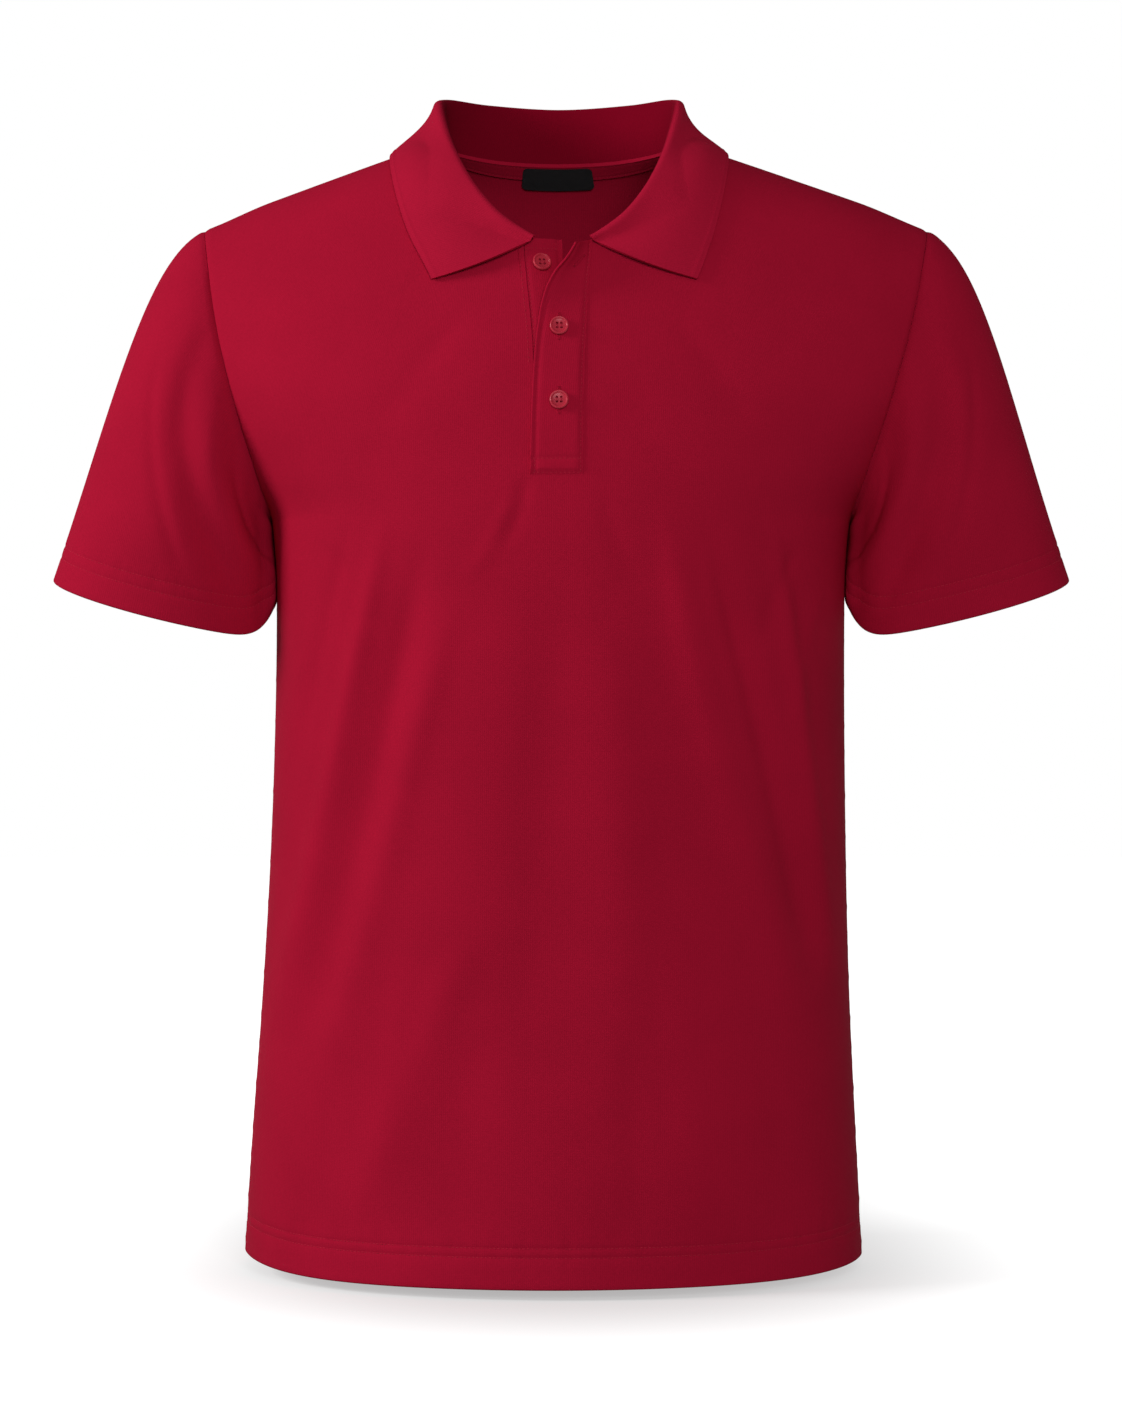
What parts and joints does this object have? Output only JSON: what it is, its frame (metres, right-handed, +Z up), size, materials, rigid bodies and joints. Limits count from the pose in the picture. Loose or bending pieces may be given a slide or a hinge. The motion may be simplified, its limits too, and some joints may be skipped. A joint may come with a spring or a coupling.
{
  "type": "polo shirt, worn form with no wearer",
  "caption": "Short-sleeved knitted polo shirt in worn form, hollow, with a turned-down rib collar and a buttoned placket open at the neck.",
  "frame": {"origin": "middle of the neck at the height of the two high shoulder points, where the wearer's neck and shoulders carry the shirt", "axes": "+Z up, the front faces -Y, +X is the wearer's left"},
  "size_m": [0.662, 0.25, 0.7638],
  "materials": {
    "knit": "matte",
    "rib": "matte",
    "tape": "matte",
    "label": "satin",
    "button": "gloss"
  },
  "bodies": {
    "root": {"front_panel": "knit", "back_panel": "knit", "left_sleeve": "knit", "right_sleeve": "knit", "collar": "rib", "upper_placket": "knit", "under_placket": "knit", "neck_tape": "tape", "neck_label": "label", "button_top": "button", "button_middle": "button", "button_bottom": "button"}
  },
  "joints": []
}
